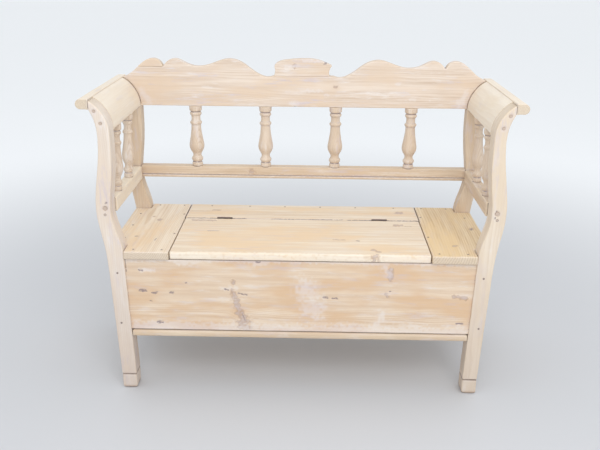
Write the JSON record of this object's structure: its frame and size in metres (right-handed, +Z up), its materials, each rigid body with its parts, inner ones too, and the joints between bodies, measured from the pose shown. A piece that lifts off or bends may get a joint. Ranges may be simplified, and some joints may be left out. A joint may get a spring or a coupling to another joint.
{
  "type": "entryway bench",
  "caption": "Storage settle: scalloped crest and turned spindles in the back, scrolled arms on S-shaped posts, and a box seat with a hinged lid.",
  "frame": {"origin": "on the floor, at the centre of the bounding box's base", "axes": "+X along the bench to the right as a person facing it sees it, +Y towards the back, +Z up"},
  "size_m": [1.228, 0.441, 0.9621],
  "materials": {
    "limed_pine": "bare limed pine with whitish paint residue in the pores, matt",
    "pale_pine": "pale cream limed pine, matt",
    "turned_pine": "turned limed pine, grey residue in the grooves, matt",
    "honey_pine": "honey coloured bare pine, satin-matt",
    "warm_pine": "warm tan limed pine with white smears and knots, matt",
    "box_pine": "plain rough pine, matt",
    "peg_wood": "darker end grain of pegs, matt",
    "iron": "aged dark iron"
  },
  "bodies": {
    "frame": {"arm_panel_left": "pale_pine", "arm_panel_pegs": "peg_wood", "arm_panel_right": "pale_pine", "arm_rail_dowels": "peg_wood", "arm_rail_left": "pale_pine", "arm_rail_right": "pale_pine", "arm_roll_left": "pale_pine", "arm_roll_nails": "iron", "arm_roll_right": "pale_pine", "arm_spindle_front_left": "turned_pine", "arm_spindle_front_right": "turned_pine", "arm_spindle_rear_left": "turned_pine", "arm_spindle_rear_right": "turned_pine", "back_panel": "box_pine", "back_post_left": "limed_pine", "back_post_right": "limed_pine", "back_spindle_1": "turned_pine", "back_spindle_2": "turned_pine", "back_spindle_3": "turned_pine", "back_spindle_4": "turned_pine", "bottom_board_front": "box_pine", "bottom_board_nails": "iron", "bottom_board_rear": "box_pine", "crest_end_piece": "limed_pine", "crest_rail": "limed_pine", "crest_tablet": "limed_pine", "foot_back_left": "limed_pine", "foot_back_right": "limed_pine", "foot_dowels": "peg_wood", "foot_front_left": "limed_pine", "foot_front_right": "limed_pine", "front_panel": "warm_pine", "front_panel_nails": "iron", "front_post_left": "limed_pine", "front_post_right": "limed_pine", "hinge_left_fixed_leaf": "iron", "hinge_left_pin": "iron", "hinge_right_fixed_leaf": "iron", "hinge_right_pin": "iron", "hinge_screws_fixed": "iron", "lower_back_rail": "limed_pine", "seat_back_strip": "honey_pine", "seat_bearer_left": "honey_pine", "seat_bearer_right": "honey_pine", "seat_board_left": "honey_pine", "seat_board_right": "honey_pine", "seat_nails": "iron", "side_panel_left": "box_pine", "side_panel_right": "box_pine"},
    "lid": {"hinge_left_lid_leaf": "iron", "hinge_right_lid_leaf": "iron", "hinge_screws_lid": "iron", "lid_board": "honey_pine"}
  },
  "joints": [
    {"name": "lid_hinge", "type": "hinge", "parent": "frame", "child": "lid", "pos_m": [0, 0.0815, 0.461], "axis": [-1, 0, 0], "range_deg": [0, 108]}
  ]
}
